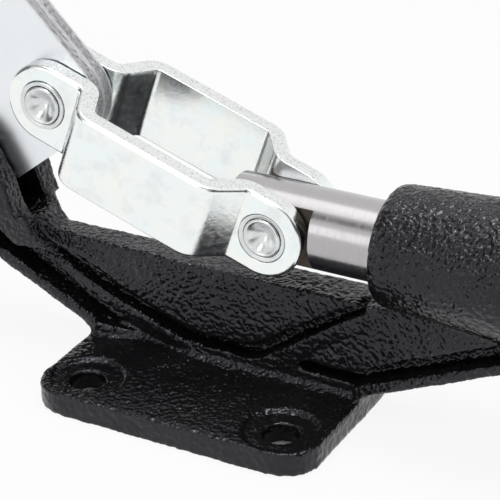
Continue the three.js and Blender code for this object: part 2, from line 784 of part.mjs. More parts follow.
// The plunger: a round bar with flats and a slot for the rivet at its rear, open below, and a bore in front
function plunger() {
  const bar = turned([
    [tongueRear, 0],
    [tongueRear, plungerRadius],
    [plungerFront - plungerChamfer, plungerRadius],
    [plungerFront, plungerRadius - plungerChamfer],
    [plungerFront, 0],
  ], 'x').translate([0, 0, axisHeight]);
  const wide = plungerRadius + overrun;
  const rear = tongueRear - overrun;
  const flats = [-1, 1].map((side) => {
    const [low, high] = side < 0 ? [-wide, -tongueHalf] : [tongueHalf, wide];
    return box(rear, shoulder, low, high, axisHeight - wide, axisHeight + wide);
  });
  const slots = [pushedSwing, pulledSwing].flatMap((swing) => (
    Array.from({ length: swingSteps }, (_, i) => slab(capsule(
      rivetPlace(swing * i / swingSteps),
      rivetPlace(swing * (i + 1) / swingSteps),
      rivetRadius + pivotClearance,
    ), -wide, wide))
  ));
  const [openX, openZ] = rivetPlace(pulledSwing / swingSteps);
  const lowerRear = slab(outline([
    [openX, openZ],
    [rear, Math.max(rivetPlace(pushedSwing)[1], rivetPlace(pulledSwing)[1])],
    [rear, axisHeight - wide],
    [openX, axisHeight - wide],
  ]), -wide, wide);
  const bore = turned([
    [plungerFront - spindleEngaged - boreSpare, 0],
    [plungerFront - spindleEngaged - boreSpare, spindleRadius + seatGap],
    [plungerFront + overrun, spindleRadius + seatGap],
    [plungerFront + overrun, 0],
  ], 'x', smallSides).translate([0, 0, axisHeight]);
  return piece('plunger', cut(bar, [...flats, ...slots, lowerRear, bore]), steelMaterial);
}

// A hexagon along X with its corners chamfered at both ends
function hexagon(low, high) {
  const prism = new THREE.CylinderGeometry(hexCorner, hexCorner, high - low, 6);
  prism.rotateZ(Math.PI / 2);
  prism.translate((low + high) / 2, 0, 0);
  const round = turned([
    [low, 0],
    [low, hexCorner - hexChamfer * 2],
    [low + hexChamfer, hexCorner],
    [high - hexChamfer, hexCorner],
    [high, hexCorner - hexChamfer * 2],
    [high, 0],
  ], 'x', smallSides);
  return solid(prism).intersect(round);
}

function jamNut() {
  const rear = plungerFront + seatGap;
  const hole = turned([
    [rear - overrun, 0],
    [rear - overrun, spindleRadius + seatGap],
    [rear + nutHeight + overrun, spindleRadius + seatGap],
    [rear + nutHeight + overrun, 0],
  ], 'x', smallSides);
  const mesh = piece('jam_nut', hexagon(rear, rear + nutHeight).subtract(hole), zincMaterial);
  mesh.position.z = axisHeight;
  return mesh;
}

// The hexagon bolt: its shank lies in the plunger's bore and its head is in the rubber tip
function spindleBolt() {
  const rear = plungerFront - spindleEngaged;
  const shank = turned([
    [rear, 0],
    [rear, spindleRadius - hexChamfer],
    [rear + hexChamfer, spindleRadius],
    [headRear + headHeight / 2, spindleRadius],
    [headRear + headHeight / 2, 0],
  ], 'x', smallSides);
  const mesh = piece('spindle_bolt', shank.add(hexagon(headRear, headRear + headHeight)), zincMaterial);
  mesh.position.z = axisHeight;
  return mesh;
}

// The rubber tip: a cap drawn over the bolt's head, with a lip behind it
function rubberTip() {
  const rear = headRear - seatGap - tipLip;
  const floor = headRear + headHeight + seatGap;
  const face = floor + tipFace;
  const hollow = hexCorner + seatGap;
  const outer = hollow + tipWall;
  const neck = spindleRadius + seatGap;
  const mesh = piece('rubber_tip', turned([
    [rear, neck],
    ...arc(rear + tipRound, outer - tipRound, tipRound, 180, 90),
    ...arc(face - tipRound, outer - tipRound, tipRound, 90, 0),
    [face, 0],
    [floor, 0],
    [floor, hollow],
    [rear + tipLip, hollow],
    [rear + tipLip, neck],
    [rear, neck],
  ], 'x'), rubberMaterial);
  mesh.position.z = axisHeight;
  return mesh;
}

const clamp = new THREE.Group();
clamp.add(baseCasting(), baseRivet(), handleGroup(), linkGroup());
clamp.add(plunger(), jamNut(), spindleBolt(), rubberTip());

export default clamp;
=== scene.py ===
"""A push-pull toggle clamp on a white floor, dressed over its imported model.

Metres, with +Z up and +X along the plunger towards its tip.
"""
import math

import bmesh
import bpy
from mathutils import Matrix, Vector, noise

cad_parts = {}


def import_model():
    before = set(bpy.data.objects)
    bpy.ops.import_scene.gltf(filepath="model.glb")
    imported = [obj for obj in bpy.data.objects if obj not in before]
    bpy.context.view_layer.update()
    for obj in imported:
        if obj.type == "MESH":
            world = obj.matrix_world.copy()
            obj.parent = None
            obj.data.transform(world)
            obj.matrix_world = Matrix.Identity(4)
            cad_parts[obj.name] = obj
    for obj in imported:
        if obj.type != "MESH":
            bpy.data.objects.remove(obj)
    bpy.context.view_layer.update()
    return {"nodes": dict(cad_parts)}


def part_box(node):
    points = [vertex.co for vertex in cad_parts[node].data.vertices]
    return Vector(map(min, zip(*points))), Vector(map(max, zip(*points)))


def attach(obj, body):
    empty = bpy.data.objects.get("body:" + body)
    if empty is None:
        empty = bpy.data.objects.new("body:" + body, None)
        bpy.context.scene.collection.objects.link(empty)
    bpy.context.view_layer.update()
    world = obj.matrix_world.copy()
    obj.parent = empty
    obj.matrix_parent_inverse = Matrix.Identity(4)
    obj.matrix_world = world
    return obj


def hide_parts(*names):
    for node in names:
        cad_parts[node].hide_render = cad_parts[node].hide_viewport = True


MM = 0.001
NEAR, FAR = -1, 1

# Camera: its target, where it looks from in degrees, and its lens on a 36 mm sensor
CAMERA_TARGET = Vector((3.97, 0.0, 29.59)) * MM
CAMERA_AZIMUTH = 28.97
CAMERA_ELEVATION = 27.48
CAMERA_ROLL = -1.09
CAMERA_DISTANCE = 421.3 * MM
CAMERA_LENS = 153.2
CAMERA_NEAREST = 10.0 * MM
SENSOR_WIDTH = 36.0

# Casting: remeshed, rounded, then roughened as painted cast iron is
CAST_VOXEL = 0.4 * MM
CAST_SMOOTHINGS = 6
LUMP_HEIGHT = 0.14 * MM
LUMP_SIZE = 9.0 * MM
LUMP_FRACTAL = (0.6, 2.0, 2)
PEBBLE_HEIGHT = 0.13 * MM
PEBBLE_SIZE = 1.1 * MM
PEBBLE_FRACTAL = (0.8, 2.0, 3)
FLANGE_TOP = 5.0 * MM

# Links: where they bend, as distances from the eye nearest to each bend, and how their edges are rounded
LINK_BEND_RADIUS = 3.4 * MM
LINK_BEND_STEPS = 8
REAR_JOG = (8.3 * MM, 12.4 * MM)
FRONT_JOG = (6.5 * MM, 11.9 * MM)
LINK_THICKNESS = 3.8 * MM
PUNCHED_ROUND = 0.9 * MM
PUNCHED_STEPS = 6
BACK_ROUND = 0.25 * MM
BACK_CUT = 0.3
EYE_ROUND = 0.2 * MM
EYE_GAP = 0.08 * MM
LINK_STATION = 4.0 * MM
STRIP_END_STEPS = 24
EYE_SIDES = 48

# Plunger: how far its shoulder lies in front of the rivet, and the edge of what was milled
SHOULDER_FORWARD = 9.2 * MM
MILLED_EDGE = 0.1 * MM

# Rivets: one end of each as rows of millimetres, with depth below the end, radius and rounding
RIVET_RADIUS = 2.9 * MM
FLARED_END = (
    (1.2, 2.9, 0.0),
    (0.25, 4.1, 0.35),
    (-0.25, 3.625, 0.4),
    (0.35, 2.85, 0.3),
    (1.725, 1.3275, 1.0),
    (2.3, 0.0, 0.0),
)
HEADED_END = (
    (1.4, 2.9, 0.0),
    (1.4, 5.4, 0.15),
    (0.2, 5.2, 0.7),
    (0.0, 3.55, 0.3),
    (0.5, 2.75, 0.3),
    (2.3, 0.0, 0.0),
)
PLATE_HEAD_HEIGHT = 1.6 * MM
PLATE_HEAD_RIM = 0.3 * MM
PLATE_HEAD_ROUND = 0.2 * MM
PLATE_HEAD_STEPS = 8

# Rings round the rivets: under the rivet's lip they fall away in two steps to their bore
LIP_RADIUS = 4.1 * MM
RING_STEP = 0.5 * MM
RING_GAP = 0.06 * MM
RING_DROP = 0.25 * MM
RING_BACK_ROUND = 0.1 * MM
RING_FRONT_ROUND = 0.25 * MM
RING_LIP_ROUND = 0.12 * MM
RING_UNDERCUT = (0.75 * MM, 1.25 * MM)

# Grip: its mouth's inside as rows of widening and depth, and its outside as rows of inset and depth
GRIP_LEAN = math.radians(-19.64)
GRIP_ALONG = Vector((math.sin(GRIP_LEAN), 0, math.cos(GRIP_LEAN)))
GRIP_ACROSS = Vector((math.cos(GRIP_LEAN), 0, -math.sin(GRIP_LEAN)))
GRIP_WALL = 3.2 * MM
GRIP_SIDE_WALL = 4.4 * MM
GRIP_HOLLOW = 60.0 * MM
MOUTH_INSIDE = ((0.0, GRIP_HOLLOW), (0.0, 1.5 * MM), (0.3 * MM, 0.4 * MM), (0.9 * MM, 0.0))
MOUTH_OUTSIDE = (
    (1.1 * MM, 0.0),
    (0.45 * MM, 0.35 * MM),
    (0.05 * MM, 1.1 * MM),
    (0.0, 2.2 * MM),
    (0.15 * MM, 3.2 * MM),
    (0.75 * MM, 3.9 * MM),
)
GRIP_BODY_START = 4.6 * MM
GRIP_BODY_INSET = 0.75 * MM
GRIP_SIDES = 64
GRIP_STEPS = 90
GRIP_SQUARENESS = 0.62
GRIP_END_SHARE = 0.09
GRIP_END_POWER = 2.4
GRIP_WAIST = 0.03
GRIP_WAIST_SHARE = 0.9
GRIP_SWELL = 1.1 * MM
GRIP_SWELL_SHARE = 0.92
GRIP_FINGERS = 4
GRIP_SMOOTH_ANGLE = math.radians(60)

# Spindle: a coarse thread of 10 mm and a hexagon head
SPINDLE_RADIUS = 5.0 * MM
HEAD_HEIGHT = 6.4 * MM
HEAD_SIDES = 6
THREAD_PITCH = 1.5 * MM
THREAD_DEPTH = 0.85 * MM
THREAD_FLAT = 0.125
THREAD_SIDES = 48
THREAD_STEPS = 8

# Rubber cap: its skirt as rows of share of its length, millimetres in from its radius, and rounding
TIP_SKIRT = (
    (0.0, 1.4, 0.8),
    (0.16, 0.0, 1.0),
    (0.5, 0.1, 0.5),
    (0.54, 0.9, 0.5),
    (0.64, 0.9, 0.5),
    (0.68, 0.1, 0.5),
)
TIP_RIM = (0.8 * MM, 0.1 * MM, 1.4 * MM)
TIP_DOME = ((0.3 * MM, 0.62, 0.6 * MM), (0.0, 0.5, 0.4 * MM))
TIP_FACE = 4.5 * MM
TIP_WALL = 2.4 * MM
TIP_LIP = 2.0 * MM

# Handle plates: the way their legs lean back from upright, and the rolled rims of their sheared edges,
# which carry a painted highlight
PLATE_LEAN = math.radians(43.64)
PLATE_THICKNESS = 3.0 * MM
ROLLED_EDGE = 0.45 * MM

# Studio: a dark band and dim corners that only reflections show, given by the direction's coordinates
FLOOR_SIZE = 4.0
FLOOR_LIFT = 0.9
FLOOR_LEVEL = 0.8
# Painted shade on the floor under the flange: its level, and its half width
UNDER_FLANGE_SHADE_LEVEL = 0.2
UNDER_FLANGE = 27.0 * MM
AMBIENT = 0.45
BAND_LOW = 0.69
BAND_HIGH = 0.83
BAND_EDGE = 0.03
BAND_LEVEL = 0.15
FRONT_RIGHT = (0.55, 0.75)
FRONT_LEFT = (-0.66, -0.82)
FRONT_EDGE = (0.2, 0.0)
DIM_LEVEL = 0.1

# Lamps: place, size and power
LAMPS = {
    "overhead": (Vector((0.05, 0.05, 0.8)), 0.3, 2.8),
    "high": (Vector((-0.39, 0.085, 0.93)), 0.45, 0.62),
    "low": (Vector((-0.39, -0.83, 0.38)), 0.38, 0.42),
    "glints": (Vector((-0.05, -0.5, 0.82)), 0.24, 1.2),
}

# Edges of the sheared, turned and forged parts
PLATE_BEVEL = 0.22 * MM
PLUNGER_BEVEL = 0.2 * MM
NUT_BEVEL = 0.25 * MM
BEVEL_STEPS = 3

# Meshes: sides of what is round, the angles of a sharp edge and of a flat one, and how near corners join
ROUND_SIDES = 72
CORNER_STEPS = 4
SMOOTH_ANGLE = math.radians(35)
FLAT_ANGLE = math.radians(0.5)
JOIN_DISTANCE = MM * 1e-3
CUT_DISTANCE = MM * 1e-4

# How much fine detail a noise carries
BARE, COARSE, PLAIN, FINE, FINEST = 1.0, 2.0, 3.0, 4.0, 5.0

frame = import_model()


def centre(node):
    low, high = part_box(node)
    return (low + high) / 2


link_pivot = centre("link_rivet")
plunger_pivot = centre("plunger_rivet")
link_length = (plunger_pivot - link_pivot).length
link_along = (plunger_pivot - link_pivot).normalized()
link_across = Vector((-link_along.z, 0, link_along.x))


# Shader helpers


class Nodes:
    """Adds shader nodes to a material or a world and joins them up."""

    def __init__(self, owner):
        owner.use_nodes = True
        self.tree = owner.node_tree
        self.tree.nodes.clear()

    def join(self, value, socket):
        if isinstance(value, bpy.types.NodeSocket):
            self.tree.links.new(value, socket)
        else:
            socket.default_value = value

    def add(self, kind, inputs=None, **settings):
        node = self.tree.nodes.new("ShaderNode" + kind)
        for name, value in settings.items():
            setattr(node, name, value)
        for name, value in (inputs or {}).items():
            self.join(value, node.inputs[name])
        return node

    def place(self, stretch=(1, 1, 1), turn=(0, 0, 0)):
        """The surface's own coordinates, turned and then stretched."""
        coordinates = self.add("TexCoord").outputs["Object"]
        turned_place = self.add("Mapping", {"Vector": coordinates, "Rotation": turn}).outputs["Vector"]
        return self.add("Mapping", {"Vector": turned_place, "Scale": stretch}).outputs["Vector"]

    def along(self, vector, axis):
        """A vector's part along an axis."""
        return self.add("SeparateXYZ", {"Vector": vector}).outputs[axis]

    def facing(self, axis):
        """The part of the surface's normal along an axis."""
        return self.along(self.add("TexCoord").outputs["Normal"], axis)

    def cloud(self, size, detail=PLAIN, where=None):
        """Noise whose features are about one size across."""
        inputs = {"Vector": where or self.place(), "Scale": 1 / size, "Detail": detail}
        return self.add("TexNoise", inputs).outputs["Fac"]

    def cells(self, size, where=None):
        """How far the surface lies from the middle of a rounded cell of about one size."""
        inputs = {"Vector": where or self.place(), "Scale": 1 / size}
        return self.add("TexVoronoi", inputs, feature="SMOOTH_F1").outputs["Distance"]

    def remap(self, value, low, high, to_low=0.0, to_high=1.0):
        inputs = {"Value": value, "From Min": low, "From Max": high, "To Min": to_low, "To Max": to_high}
        return self.add("MapRange", inputs).outputs["Result"]

    def math(self, operation, first, second=0.0):
        node = self.add("Math", operation=operation)
        self.join(first, node.inputs[0])
        self.join(second, node.inputs[1])
        return node.outputs["Value"]

    def mix(self, factor, first, second):
        """Two colours mixed by a factor."""
        node = self.add("Mix", data_type="RGBA")
        self.join(factor, node.inputs["Factor"])
        sockets = [socket for socket in node.inputs if socket.type == "RGBA"]
        self.join(first, sockets[0])
        self.join(second, sockets[1])
        return next(socket for socket in node.outputs if socket.type == "RGBA")

    def bump(self, height, distance, strength=1.0, below=None):
        inputs = {"Height": height, "Distance": distance, "Strength": strength}
        if below is not None:
            inputs["Normal"] = below
        return self.add("Bump", inputs).outputs["Normal"]

    def surface(self, **inputs):
        """Ends a material in one shader with these settings."""
        named = {name.replace("_", " "): value for name, value in inputs.items()}
        shader = self.add("BsdfPrincipled", named)
        self.add("OutputMaterial", {"Surface": shader.outputs["BSDF"]})


def shade(level, red=1.0, green=1.0, blue=1.0):
    return (level * red, level * green, level * blue, 1.0)


def material(name):
    made = bpy.data.materials.new(name)
    return made, Nodes(made)


# Black paint

PAINT_COLOURS = (shade(0.0042, 1, 1, 1.12), shade(0.0068, 1.02, 1, 1.06))
PAINT_TINT = shade(1.0, 0.92, 0.89, 1.0)
PAINT_IOR = 1.44
PAINT_ROUGHNESS = (0.12, 0.22)
PAINT_GLOSS_SIZE = 2.5 * MM
PAINT_GLOSS_RANGE = (0.3, 0.75)
WORN_SIZE = 14 * MM
WORN_RANGE = (0.35, 0.7)
DOME_SPAN = 0.85 * MM
DOME_RISE = 0.46 * MM
DOME_RANGE = (0.0, 0.7)
WARP_SIZE = 2.4 * MM
WARP_REACH = 1.4 * MM
PATCH_SIZE = 7 * MM
PATCH_RANGE = (0.35, 0.65)
PATCH_STRENGTH = (0.55, 1.0)
FLANGE_BLEND = 1.5 * MM
FLANGE_STRENGTH = 0.25
UNDERSIDE_RANGE = (-0.6, 0.3)
UNDERSIDE_STRENGTH = 0.4
GRAIN_SIZE = 0.3 * MM
GRAIN_HEIGHT = 0.05 * MM
GRAIN_STRENGTH = 0.5


def warped(nodes):
    """The surface's own coordinates, pushed about so that the domes on it aren't round."""
    push = nodes.add("VectorMath", operation="SCALE")
    nodes.join(nodes.cloud(WARP_SIZE, COARSE), push.inputs[0])
    nodes.join(WARP_REACH, push.inputs["Scale"])
    moved = nodes.add("VectorMath", operation="ADD")
    nodes.join(nodes.place(), moved.inputs[0])
    nodes.join(push.outputs["Vector"], moved.inputs[1])
    return moved.outputs["Vector"]


def dome_strength(nodes):
    """The domes come in patches, and are faint on the flange and on what faces down."""
    height = nodes.along(nodes.place(), "Z")
    raised = nodes.remap(
        height, FLANGE_TOP - FLANGE_BLEND, FLANGE_TOP + FLANGE_BLEND, FLANGE_STRENGTH, 1.0)
    upward = nodes.remap(nodes.facing("Z"), *UNDERSIDE_RANGE, UNDERSIDE_STRENGTH, 1.0)
    patchy = nodes.remap(nodes.cloud(PATCH_SIZE, COARSE), *PATCH_RANGE, *PATCH_STRENGTH)
    return nodes.math("MULTIPLY", nodes.math("MULTIPLY", raised, upward), patchy)


def black_paint():
    """Glossy black paint over cast iron, domed by the casting's skin."""
    made, nodes = material("black_paint")
    colour = nodes.mix(nodes.remap(nodes.cloud(WORN_SIZE, FINE), *WORN_RANGE), *PAINT_COLOURS)
    rough = nodes.remap(nodes.cloud(PAINT_GLOSS_SIZE, FINEST), *PAINT_GLOSS_RANGE, *PAINT_ROUGHNESS)
    domes = nodes.remap(nodes.cells(DOME_SPAN, warped(nodes)), *DOME_RANGE, 1.0, 0.0)
    normal = nodes.bump(domes, DOME_RISE, dome_strength(nodes))
    normal = nodes.bump(nodes.cloud(GRAIN_SIZE, COARSE), GRAIN_HEIGHT, GRAIN_STRENGTH, normal)
    nodes.surface(
        Base_Color=colour, Roughness=rough, Normal=normal, IOR=PAINT_IOR, Specular_Tint=PAINT_TINT)
    return made


# Bright zinc plate: each tint goes with a share of the plate's level

COOL_TINT = (0.94, 1.0, 1.0)
WARM_TINT = (0.985, 1.0, 0.965)
TINT_SIZE = 6 * MM
TINT_RANGE = (0.4, 0.6)
CLOUDED_TINT = (0.96, 1.0, 1.01)
CLOUDED_SHARE = 0.84
CLOUDED_SIZE = 3.5 * MM
CLOUDED_RANGE = (0.5, 0.72)
UPPER_RANGE = (0.7, 0.92)
UPPER_TINT = (0.985, 1.0, 1.0)
UPPER_SHARE = 0.87
UPPER_DULLING = 0.12
PITTED_SHARE = 0.58
PIT_SIZE = 0.4 * MM
PIT_RANGE = (0.5, 0.66)
ZINC_GLOSS_SIZE = 1.2 * MM
ZINC_GLOSS_RANGE = (0.3, 0.7)
RIPPLE_SIZE = 0.7 * MM
SCRATCH_SIZE = 1.1 * MM
SCRATCH_STRETCH = (1, 1, 9)
SCRATCH_TURN = (0.2, 0.9, 0.1)
ZINC_RELIEF = (0.02 * MM, 0.9)


def zinc(name, level, mottle, roughness):
    """Zinc plate, faintly blue and cream in patches, scratched, and pitted where it faces up."""
    made, nodes = material(name)
    tints = nodes.remap(nodes.cloud(TINT_SIZE, FINE), *TINT_RANGE)
    colour = nodes.mix(tints, shade(level, *COOL_TINT), shade(level, *WARM_TINT))
    clouded = nodes.remap(nodes.cloud(CLOUDED_SIZE, FINEST), *CLOUDED_RANGE, 0.0, mottle)
    colour = nodes.mix(clouded, colour, shade(level * CLOUDED_SHARE, *CLOUDED_TINT))
    upper = nodes.remap(nodes.facing("Z"), *UPPER_RANGE)
    pits = nodes.remap(nodes.cloud(PIT_SIZE), *PIT_RANGE)
    pitted = nodes.mix(
        pits, shade(level * UPPER_SHARE, *UPPER_TINT), shade(level * PITTED_SHARE, *UPPER_TINT))
    colour = nodes.mix(upper, colour, pitted)
    rough = nodes.remap(nodes.cloud(ZINC_GLOSS_SIZE, FINEST), *ZINC_GLOSS_RANGE, *roughness)
    rough = nodes.math("ADD", rough, nodes.math("MULTIPLY", upper, UPPER_DULLING))
    scratches = nodes.cloud(SCRATCH_SIZE, FINE, nodes.place(SCRATCH_STRETCH, SCRATCH_TURN))
    normal = nodes.bump(nodes.cloud(RIPPLE_SIZE, COARSE), *ZINC_RELIEF)
    normal = nodes.bump(scratches, *ZINC_RELIEF, normal)
    nodes.surface(Base_Color=colour, Metallic=1.0, Roughness=rough, Normal=normal)
    return made


# Handle plates: plated faces, and sheared edges with rows of pits between rolled rims that are painted
# lighter, partly their burnished metal and partly a painted highlight

FACE_COLOURS = (shade(0.86, 0.965, 1.0, 1.03), shade(0.89, 0.965, 0.995, 1.01))
FACE_SIZE = 16 * MM
FACE_RANGE = (0.38, 0.62)
SHEARED_RANGE = (0.8, 0.3)
SHEARED_COLOURS = (shade(0.6, 1.0, 0.995, 1.02), shade(0.42, 1.0, 0.985, 1.03))
STREAK_SIZE = 0.36 * MM
STREAK_STRETCH = (1, 1.6, 0.12)
STREAK_RANGE = (0.42, 0.58)
DASH_COLOUR = shade(0.2, 1.0, 0.98, 1.02)
DASH_SIZE = 0.28 * MM
DASH_STRETCH = (1, 1.2, 0.32)
DASH_RANGE = (0.5, 0.62)
# The rolled rims' lighter colour is partly their burnished metal and partly a painted highlight
RIM_HIGHLIGHT_COLOUR = shade(0.85, 0.98, 1.0, 1.02)
RIM_HIGHLIGHT_SHARE = 0.75
RIM_HIGHLIGHT_BLEND = 1.3
PLATE_ROUGHNESS = (0.28, 0.5)
WAVE_SIZE = 2 * MM
WAVE_RELIEF = (0.015 * MM, 0.5)
DASH_RELIEF = (0.05 * MM, 0.7)


def rolled_rim_highlight(nodes):
    """Where a sheared edge of the pair of plates has its rolled rims, by distance from their joint. There a
    painted highlight goes over the burnished metal.
    """
    out = nodes.math("ABSOLUTE", nodes.along(nodes.place(), "Y"))
    inner = nodes.remap(out, ROLLED_EDGE, ROLLED_EDGE / 2)
    outer = nodes.remap(out, PLATE_THICKNESS - ROLLED_EDGE * RIM_HIGHLIGHT_BLEND, PLATE_THICKNESS - ROLLED_EDGE / 2)
    return nodes.math("MAXIMUM", inner, outer)


def plate_zinc():
    made, nodes = material("plate_zinc")
    lean = (0, PLATE_LEAN, 0)
    edge = nodes.remap(nodes.math("ABSOLUTE", nodes.facing("Y")), *SHEARED_RANGE)
    face = nodes.mix(nodes.remap(nodes.cloud(FACE_SIZE), *FACE_RANGE), *FACE_COLOURS)
    streaks = nodes.cloud(STREAK_SIZE, COARSE, nodes.place(STREAK_STRETCH, lean))
    streak = nodes.remap(streaks, *STREAK_RANGE)
    dashes = nodes.cloud(DASH_SIZE, BARE, nodes.place(DASH_STRETCH, lean))
    dash = nodes.remap(dashes, *DASH_RANGE)
    sheared = nodes.mix(streak, *SHEARED_COLOURS)
    sheared = nodes.mix(dash, sheared, DASH_COLOUR)
    # Painted highlight: the rolled rims are painted lighter than the rest of the sheared edge
    sheared = nodes.mix(nodes.math("MULTIPLY", rolled_rim_highlight(nodes), RIM_HIGHLIGHT_SHARE), sheared, RIM_HIGHLIGHT_COLOUR)
    colour = nodes.mix(edge, face, sheared)
    rough = nodes.remap(edge, 0.0, 1.0, *PLATE_ROUGHNESS)
    depth = nodes.math("MULTIPLY", nodes.math("ADD", streak, dash), edge)
    normal = nodes.bump(nodes.cloud(WAVE_SIZE, FINE), *WAVE_RELIEF)
    normal = nodes.bump(nodes.math("SUBTRACT", 1.0, depth), *DASH_RELIEF, normal)
    nodes.surface(Base_Color=colour, Metallic=1.0, Roughness=rough, Normal=normal)
    return made


# Ground steel of the plunger, with fine lines round the bar, and painted shade on its dull milled shoulder
# and flats

GROUND_COLOURS = (shade(0.43, 1.0, 0.965, 0.99), shade(0.47, 1.0, 0.975, 0.985))
GROUND_SIZE = 9 * MM
LINE_COLOUR = shade(0.32, 1.0, 0.95, 0.95)
LINE_SIZE = 1.2 * MM
LINE_STRETCH = (9, 0.25, 0.25)
LINE_RANGE = (0.5, 0.75)
LINE_SHARE = 0.3
LINE_RELIEF = (0.008 * MM, 0.6)
# Milled flats and shoulder: painted shade, dark and brown-tinted, where the links keep the light off them
SHADED_FLATS_COLOUR = shade(0.07, 1.2, 1.0, 0.82)
MILLED_RANGE = (0.9, 0.97)
MILLED_ROUGHNESS = 0.5
GROUND_GLOSS_SIZE = 3 * MM
GROUND_GLOSS_STRETCH = (5, 1, 1)
GROUND_GLOSS_RANGE = (0.3, 0.7)
GROUND_ROUGHNESS = (0.17, 0.26)


def shaded_milled_flats(nodes):
    """Where the bar's flats and shoulder are, behind the edge of the turned bar. There shade is painted, as
    the links keep the light off them.
    """
    flat = nodes.math("MAXIMUM", *(nodes.math("ABSOLUTE", nodes.facing(axis)) for axis in ("X", "Y")))
    shoulder = plunger_pivot.x + SHOULDER_FORWARD
    behind = nodes.remap(
        nodes.along(nodes.place(), "X"), shoulder + MILLED_EDGE * 2, shoulder + MILLED_EDGE)
    return nodes.math("MULTIPLY", nodes.remap(flat, *MILLED_RANGE), behind)


def ground_steel():
    made, nodes = material("ground_steel")
    milled_and_shaded = shaded_milled_flats(nodes)
    lines = nodes.cloud(LINE_SIZE, FINEST, nodes.place(LINE_STRETCH))
    tint = nodes.mix(nodes.cloud(GROUND_SIZE), *GROUND_COLOURS)
    colour = nodes.mix(nodes.remap(lines, *LINE_RANGE, 0.0, LINE_SHARE), tint, LINE_COLOUR)
    # Painted shade: the milled flats and shoulder are painted dark brown; their higher roughness below is
    # the real dull milled steel
    colour = nodes.mix(milled_and_shaded, colour, SHADED_FLATS_COLOUR)
    gloss = nodes.cloud(GROUND_GLOSS_SIZE, FINE, nodes.place(GROUND_GLOSS_STRETCH))
    rough = nodes.remap(gloss, *GROUND_GLOSS_RANGE, *GROUND_ROUGHNESS)
    rough = nodes.math("MAXIMUM", rough, nodes.math("MULTIPLY", milled_and_shaded, MILLED_ROUGHNESS))
    normal = nodes.bump(lines, *LINE_RELIEF)
    nodes.surface(Base_Color=colour, Metallic=1.0, Roughness=rough, Normal=normal)
    return made


# Turned steel of the rings and rivet ends

TURNED_COLOURS = (shade(0.78, 0.97, 0.99, 1.0), shade(0.70, 0.98, 1.0, 1.0))
TURNED_SIZE = 1.2 * MM
TURNED_RANGE = (0.35, 0.65)
TURNED_GLOSS_SIZE = 0.9 * MM
TURNED_GLOSS_RANGE = (0.3, 0.7)
TURNED_ROUGHNESS = (0.2, 0.32)
TURNED_RIPPLE = 0.6 * MM
TURNED_RELIEF = (0.015 * MM, 0.3)


def turned_steel():
    made, nodes = material("turned_steel")
    colour = nodes.mix(nodes.remap(nodes.cloud(TURNED_SIZE, FINE), *TURNED_RANGE), *TURNED_COLOURS)
    gloss = nodes.cloud(TURNED_GLOSS_SIZE, FINE)
    rough = nodes.remap(gloss, *TURNED_GLOSS_RANGE, *TURNED_ROUGHNESS)
    normal = nodes.bump(nodes.cloud(TURNED_RIPPLE), *TURNED_RELIEF)
    nodes.surface(Base_Color=colour, Metallic=1.0, Roughness=rough, Normal=normal)
    return made


# Dipped vinyl of the grip: soft gloss with a fine grain

VINYL_COLOURS = (shade(0.5, 1, 0.035, 0.04), shade(0.42, 1, 0.03, 0.035))
VINYL_SIZE = 6 * MM
VINYL_GLOSS_SIZE = 2 * MM
VINYL_GLOSS_RANGE = (0.3, 0.7)
VINYL_ROUGHNESS = (0.38, 0.52)
VINYL_GRAIN_SIZE = 0.7 * MM
VINYL_GRAIN = (0.04 * MM, 0.35)
VINYL_WAVE_SIZE = 5 * MM
VINYL_WAVE = (0.25 * MM, 0.4)


def red_vinyl():
    made, nodes = material("red_vinyl")
    colour = nodes.mix(nodes.cloud(VINYL_SIZE, FINE), *VINYL_COLOURS)
    rough = nodes.remap(nodes.cloud(VINYL_GLOSS_SIZE, FINE), *VINYL_GLOSS_RANGE, *VINYL_ROUGHNESS)
    normal = nodes.bump(nodes.cells(VINYL_GRAIN_SIZE), *VINYL_GRAIN)
    normal = nodes.bump(nodes.cloud(VINYL_WAVE_SIZE), *VINYL_WAVE, normal)
    nodes.surface(Base_Color=colour, Roughness=rough, Normal=normal)
    return made


# Black rubber of the tip

RUBBER_COLOURS = (shade(0.018), shade(0.032, 1, 0.98, 0.96))
RUBBER_SIZE = 3 * MM
RUBBER_GLOSS_SIZE = 1.5 * MM
RUBBER_GLOSS_RANGE = (0.3, 0.7)
RUBBER_ROUGHNESS = (0.6, 0.78)
RUBBER_GRAIN_SIZE = 0.5 * MM
RUBBER_GRAIN = (0.05 * MM, 0.6)


def black_rubber():
    made, nodes = material("black_rubber")
    colour = nodes.mix(nodes.cloud(RUBBER_SIZE, FINEST), *RUBBER_COLOURS)
    rough = nodes.remap(nodes.cloud(RUBBER_GLOSS_SIZE, FINE), *RUBBER_GLOSS_RANGE, *RUBBER_ROUGHNESS)
    normal = nodes.bump(nodes.cloud(RUBBER_GRAIN_SIZE, FINE), *RUBBER_GRAIN)
    nodes.surface(Base_Color=colour, Roughness=rough, Normal=normal)
    return made


PAINT = black_paint()
LINK_ZINC = zinc("link_zinc", level=0.93, mottle=0.6, roughness=(0.13, 0.23))
NUT_ZINC = zinc("nut_zinc", level=0.74, mottle=0.5, roughness=(0.2, 0.34))
STEEL = ground_steel()
RING_STEEL = turned_steel()
VINYL = red_vinyl()
RUBBER = black_rubber()
PLATE = plate_zinc()


# Mesh helpers


def finished(name, built, look, body, nodes, smooth_angle=SMOOTH_ANGLE):
    """A piece from a bmesh, smooth but for its sharp edges, riding on a body in place of CAD nodes."""
    bmesh.ops.recalc_face_normals(built, faces=built.faces)
    mesh = bpy.data.meshes.new(name)
    built.to_mesh(mesh)
    built.free()
    mesh.shade_smooth()
    mesh.set_sharp_from_angle(angle=smooth_angle)
    mesh.materials.append(look)
    piece = bpy.data.objects.new(name, mesh)
    bpy.context.scene.collection.objects.link(piece)
    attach(piece, body)
    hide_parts(*nodes)
    return piece


